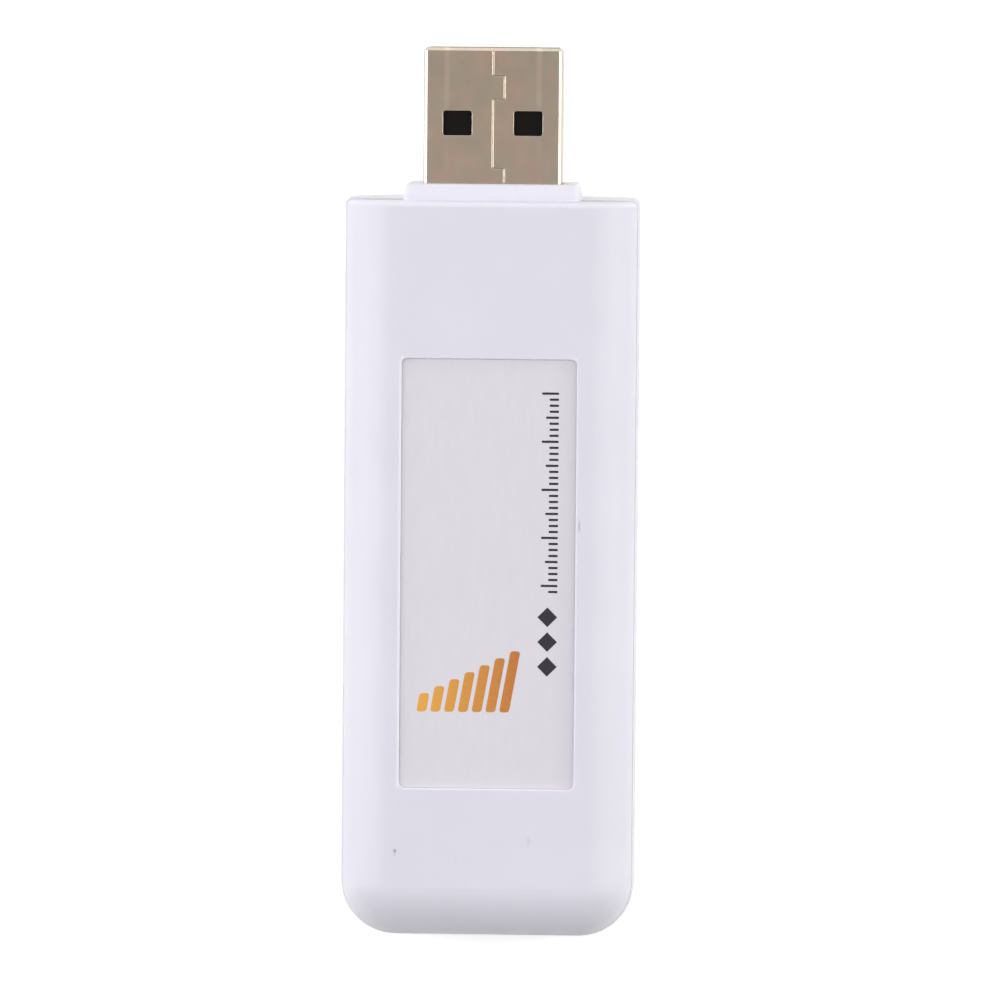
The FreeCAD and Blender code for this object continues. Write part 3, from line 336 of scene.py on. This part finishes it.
# Dirt on the case: place across and along, half width, half length, colour, how much it covers
GRIME = linear(158, 156, 164)
SCUFF = linear(186, 184, 190)
RUBBED = linear(205, 203, 209)
CASE_SPECKS = (
    (-7.85, -30.86, 0.14, 0.15, GRIME, 0.72),
    (-7.86, -31.08, 0.08, 0.22, GRIME, 0.3),
    (3.70, -30.00, 0.15, 0.45, RUBBED, 0.33),
    (7.87, -2.50, 0.07, 0.50, SCUFF, 0.75),
    (-7.35, 6.07, 0.05, 0.10, GRIME, 0.5),
    (-6.02, -31.47, 0.16, 0.10, RUBBED, 0.12),
    (-2.56, -31.43, 0.14, 0.30, RUBBED, 0.10),
)

# Small finishes: colour, grain size, how far the shade varies, roughness, and the grain's depth
black_plastic = speckled("black_plastic", linear(30, 29, 28), 0.3, 0.10, 0.5, 0.01)
gold_plate = speckled("gold_plate", linear(214, 170, 84), 0.4, 0.05, 0.25, 0.004,
                      metallic=1.0, along=(1.0, 0.1, 1.0))
crystal_can = speckled("crystal_can", linear(196, 194, 188), 0.5, 0.04, 0.3, 0.004, metallic=1.0)
ferrite_ceramic = speckled("ferrite_ceramic", linear(62, 60, 64), 0.1, 0.12, 0.6, 0.01)
capacitor_ceramic = speckled("capacitor_ceramic", linear(178, 150, 112), 0.15, 0.07, 0.5, 0.006)
resistor_ceramic = speckled("resistor_ceramic", linear(34, 34, 40), 0.15, 0.10, 0.4, 0.006)
tongue_plastic = speckled("tongue_plastic", linear(14, 13, 12), 0.4, 0.08, 0.55, 0.006, specular=0.1)
steel = plug_steel()
FINISHES = {
    "front_cover": case_plastic("case_plastic_front", CASE_PAINTED_HIGHLIGHTS, CASE_SPECKS),
    "back_cover": case_plastic("case_plastic_back"),
    "label": label_film(),
    "plug_shell": steel,
    "plug_insulator": tongue_plastic,
    "contact_supply": gold_plate,
    "contact_data_minus": gold_plate,
    "contact_data_plus": gold_plate,
    "contact_ground": gold_plate,
    "circuit_board": board_laminate(),
    "controller_chip": black_plastic,
    "transceiver_chip": black_plastic,
    "memory_chip": black_plastic,
    "surge_protector": black_plastic,
    "voltage_regulator": black_plastic,
    "radio_crystal": crystal_can,
    "clock_crystal": crystal_can,
    "supply_ferrite": ferrite_ceramic,
    "matching_inductors": ferrite_ceramic,
    "chip_capacitors": capacitor_ceramic,
    "chip_resistors": resistor_ceramic,
    "antenna_coil": gold_plate,
}
for node_name, finish in FINISHES.items():
    materials = NODES[node_name].data.materials
    materials.clear()
    materials.append(finish)


def add_mesh(name, mesh, material):
    piece = bpy.data.objects.new(name, mesh)
    bpy.context.scene.collection.objects.link(piece)
    piece.data.materials.append(material)
    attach(piece, "root")
    return piece


def prisms(name, outlines, low, high, material):
    """Flat upright prisms with the given outlines, in one piece. Millimetres."""
    shape = bmesh.new()
    for outline in outlines:
        base = [shape.verts.new((x * MM, y * MM, low * MM)) for x, y in outline]
        top = [shape.verts.new((x * MM, y * MM, high * MM)) for x, y in outline]
        shape.faces.new(list(reversed(base)))
        shape.faces.new(top)
        count = len(outline)
        for index in range(count):
            after = (index + 1) % count
            shape.faces.new((base[index], base[after], top[after], top[index]))
    mesh = bpy.data.meshes.new(name)
    shape.to_mesh(mesh)
    shape.free()
    return add_mesh(name, mesh, material)


def rounded_slab(middle_x, middle_y, width, length, radius, slant=0.0, steps=5):
    """The outline of a block with round corners, its top pushed sideways by slant times its height."""
    points = []
    corners = ((1, 1, 0), (-1, 1, 90), (-1, -1, 180), (1, -1, 270))
    for side, end, start in corners:
        for step in range(steps + 1):
            turn = math.radians(start + 90 * step / steps)
            x = side * (width / 2 - radius) + radius * math.cos(turn)
            y = end * (length / 2 - radius) + radius * math.sin(turn)
            points.append((middle_x + x + slant * y, middle_y + y))
    return points


# Print on the label: a row of slanted amber bars, a scale of dark ticks, and three dark lozenges
AMBER_LEFT = linear(236, 176, 66)
AMBER_RIGHT = linear(176, 84, 30)
AMBER_GRAIN = linear(240, 200, 120)
AMBER_ENDS_FROM_RIGHT = 3.0
DARK_LEFT = linear(30, 28, 36)
DARK_RIGHT = linear(36, 33, 42)
DARK_GRAIN = linear(60, 56, 66)
LABEL_LOW, LABEL_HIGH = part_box("label")
LABEL_TOP = LABEL_HIGH.z / MM
LABEL_RIGHT = LABEL_HIGH.x / MM
LABEL_LEFT = LABEL_LOW.x / MM
LABEL_END = LABEL_LOW.y / MM
LABEL_START = LABEL_HIGH.y / MM
INK = 0.008
BARS = 7
BAR_WIDTH = 0.85
BAR_PITCH = 1.25
BAR_SHORTEST = 1.6
BAR_GROWTH = 0.62
BAR_RADIUS = 0.25
BAR_SLANT = 0.18
BARS_FROM_LEFT = 2.0
BARS_FROM_END = 6.6
TICKS = 34
TICK_PITCH = 0.52
TICK_THICKNESS = 0.2
TICK_RADIUS = 0.06
TICK_LENGTHS = (1.45, 0.8, 0.8, 0.8, 1.1, 0.8, 0.8, 0.8)
TICKS_FROM_RIGHT = 1.5
TICKS_FROM_START = 2.9
LOZENGES = 3
LOZENGE_HALF = 0.85
LOZENGE_PITCH = 2.15
LOZENGES_AFTER_TICKS = 2.2


def amber_bars():
    bars = []
    for index in range(BARS):
        length = BAR_SHORTEST + BAR_GROWTH * index
        x = LABEL_LEFT + BARS_FROM_LEFT + BAR_PITCH * index
        y = LABEL_END + BARS_FROM_END + length / 2
        bars.append(rounded_slab(x, y, BAR_WIDTH, length, BAR_RADIUS, slant=BAR_SLANT))
    amber = printed("ink_amber", AMBER_LEFT, AMBER_RIGHT, LABEL_LEFT, LABEL_RIGHT - AMBER_ENDS_FROM_RIGHT,
                    AMBER_GRAIN)
    prisms("label_bars", bars, LABEL_TOP - INK, LABEL_TOP + INK, amber)


def dark_ticks(ink):
    ticks = []
    for index in range(TICKS):
        length = TICK_LENGTHS[index % len(TICK_LENGTHS)]
        x = LABEL_RIGHT - TICKS_FROM_RIGHT - length / 2
        y = LABEL_START - TICKS_FROM_START - TICK_PITCH * index
        ticks.append(rounded_slab(x, y, length, TICK_THICKNESS, TICK_RADIUS, steps=2))
    prisms("label_ticks", ticks, LABEL_TOP - INK, LABEL_TOP + INK, ink)


def dark_lozenges(ink):
    lozenges = []
    y = LABEL_START - TICKS_FROM_START - TICK_PITCH * (TICKS - 1) - LOZENGES_AFTER_TICKS
    x = LABEL_RIGHT - TICKS_FROM_RIGHT - LOZENGE_HALF
    for index in range(LOZENGES):
        middle = y - LOZENGE_PITCH * index
        lozenges.append([(x + LOZENGE_HALF, middle), (x, middle + LOZENGE_HALF),
                         (x - LOZENGE_HALF, middle), (x, middle - LOZENGE_HALF)])
    prisms("label_lozenges", lozenges, LABEL_TOP - INK, LABEL_TOP + INK, ink)


dark_ink = printed("ink_dark", DARK_LEFT, DARK_RIGHT, LABEL_LEFT, LABEL_RIGHT, DARK_GRAIN)
amber_bars()
dark_ticks(dark_ink)
dark_lozenges(dark_ink)


# Stage: a pale floor, and white all round for the eye
def white_to_the_eye(nodes, links, lit_shader, white_shader):
    """Mixes a shader for the object's light with plain white for camera, glossy and transmission rays."""
    path = nodes.new("ShaderNodeLightPath")
    either = nodes.new("ShaderNodeMath")
    either.operation = "MAXIMUM"
    links.new(path.outputs["Is Camera Ray"], either.inputs[0])
    links.new(path.outputs["Is Glossy Ray"], either.inputs[1])
    all_three = nodes.new("ShaderNodeMath")
    all_three.operation = "MAXIMUM"
    links.new(either.outputs[0], all_three.inputs[0])
    links.new(path.outputs["Is Transmission Ray"], all_three.inputs[1])
    mix = nodes.new("ShaderNodeMixShader")
    links.new(all_three.outputs[0], mix.inputs[0])
    links.new(lit_shader, mix.inputs[1])
    links.new(white_shader, mix.inputs[2])
    return mix.outputs[0]


FLOOR_HALF = 3.0
FLOOR_ALBEDO = 0.82
FLOOR_GLOW = 0.44


def make_floor():
    mesh = bpy.data.meshes.new("floor")
    corners = [(-FLOOR_HALF, -FLOOR_HALF, 0), (FLOOR_HALF, -FLOOR_HALF, 0),
               (FLOOR_HALF, FLOOR_HALF, 0), (-FLOOR_HALF, FLOOR_HALF, 0)]
    mesh.from_pydata(corners, [], [(0, 1, 2, 3)])
    floor = bpy.data.objects.new("floor", mesh)
    bpy.context.scene.collection.objects.link(floor)
    material = bpy.data.materials.new("floor_white")
    material.use_nodes = True
    nodes, links = material.node_tree.nodes, material.node_tree.links
    nodes.clear()
    diffuse = nodes.new("ShaderNodeBsdfDiffuse")
    diffuse.inputs["Color"].default_value = (FLOOR_ALBEDO, FLOOR_ALBEDO, FLOOR_ALBEDO, 1)
    glow = nodes.new("ShaderNodeEmission")
    glow.inputs["Strength"].default_value = FLOOR_GLOW
    seen = nodes.new("ShaderNodeAddShader")
    links.new(diffuse.outputs[0], seen.inputs[0])
    links.new(glow.outputs[0], seen.inputs[1])
    output = nodes.new("ShaderNodeOutputMaterial")
    links.new(white_to_the_eye(nodes, links, diffuse.outputs[0], seen.outputs[0]), output.inputs["Surface"])
    floor.data.materials.append(material)


def make_world():
    """White to the eye. On the object, an even dim light that falls off towards the far end."""
    world = bpy.data.worlds.new("studio")
    world.use_nodes = True
    bpy.context.scene.world = world
    nodes, links = world.node_tree.nodes, world.node_tree.links
    nodes.clear()
    direction = nodes.new("ShaderNodeTexCoord")
    split = nodes.new("ShaderNodeSeparateXYZ")
    links.new(direction.outputs["Generated"], split.inputs[0])
    level = nodes.new("ShaderNodeMapRange")
    links.new(split.outputs["Y"], level.inputs["Value"])
    for socket, number in zip(RANGE_SOCKETS, (-1.0, 1.0, WORLD_FROM_FAR_END, WORLD_FROM_PLUG_END)):
        level.inputs[socket].default_value = number
    lit = nodes.new("ShaderNodeBackground")
    links.new(level.outputs[0], lit.inputs["Strength"])
    white = nodes.new("ShaderNodeBackground")
    white.inputs["Strength"].default_value = WHITE
    output = nodes.new("ShaderNodeOutputWorld")
    links.new(white_to_the_eye(nodes, links, lit.outputs[0], white.outputs[0]), output.inputs["Surface"])


def make_softboxes():
    """Rectangular lamps that face the object."""
    for name, place, (width, height), tint, radiance in SOFTBOXES:
        lamp = bpy.data.lights.new(name, "AREA")
        lamp.shape = "RECTANGLE"
        lamp.size, lamp.size_y = width, height
        lamp.color = tint
        lamp.energy = radiance * math.pi * width * height
        holder = bpy.data.objects.new(name, lamp)
        bpy.context.scene.collection.objects.link(holder)
        holder.location = place
        holder.rotation_mode = "QUATERNION"
        holder.rotation_quaternion = Vector(place).to_track_quat("Z", "Y")


def make_card():
    """A warm grey card high above, which the metal's flat faces mirror. It sends no other light."""
    mesh = bpy.data.meshes.new("grey_card")
    corners = [(CARD_PLACE[0] + x * CARD_HALF, CARD_PLACE[1] + y * CARD_HALF, CARD_PLACE[2])
               for x, y in ((-1, -1), (1, -1), (1, 1), (-1, 1))]
    mesh.from_pydata(corners, [], [(0, 1, 2, 3)])
    card = bpy.data.objects.new("grey_card", mesh)
    bpy.context.scene.collection.objects.link(card)
    material = bpy.data.materials.new("grey_card")
    material.use_nodes = True
    nodes, links = material.node_tree.nodes, material.node_tree.links
    nodes.clear()
    grey = nodes.new("ShaderNodeEmission")
    grey.inputs["Color"].default_value = CARD_COLOUR
    output = nodes.new("ShaderNodeOutputMaterial")
    links.new(grey.outputs[0], output.inputs["Surface"])
    card.data.materials.append(material)
    card.visible_camera = False
    card.visible_diffuse = False
    card.visible_transmission = False
    card.visible_shadow = False


def make_camera():
    """The photograph's camera: almost straight above, leaning a little to the plug end and to the right."""
    low, high = CAD_BOX
    middle = (low + high) / 2
    back = Vector((math.tan(LEAN_TO_RIGHT), math.tan(LEAN_TO_PLUG), 1.0)).normalized()
    hint = Vector((-math.sin(ROLL), math.cos(ROLL), 0.0))
    right = hint.cross(back).normalized()
    up = back.cross(right)
    aside = (IMAGE_SIDE / 2 - OBJECT_MIDDLE_PIXEL[0]) / PIXELS_PER_MM * MM
    below = (IMAGE_SIDE / 2 - OBJECT_MIDDLE_PIXEL[1]) / PIXELS_PER_MM * MM
    aim = middle + right * aside - up * below
    camera_data = bpy.data.cameras.new("camera")
    camera_data.sensor_width = SENSOR
    camera_data.lens = PIXELS_PER_MM * CAMERA_DISTANCE / IMAGE_SIDE * SENSOR
    camera_data.clip_start, camera_data.clip_end = CLIP_RANGE
    camera = bpy.data.objects.new("camera", camera_data)
    bpy.context.scene.collection.objects.link(camera)
    camera.location = aim + back * CAMERA_DISTANCE * MM
    camera.rotation_mode = "QUATERNION"
    camera.rotation_quaternion = Matrix((right, up, back)).transposed().to_quaternion()
    bpy.context.scene.camera = camera


make_floor()
make_world()
make_softboxes()
make_card()
make_camera()
bpy.context.scene.view_settings.view_transform = "Standard"
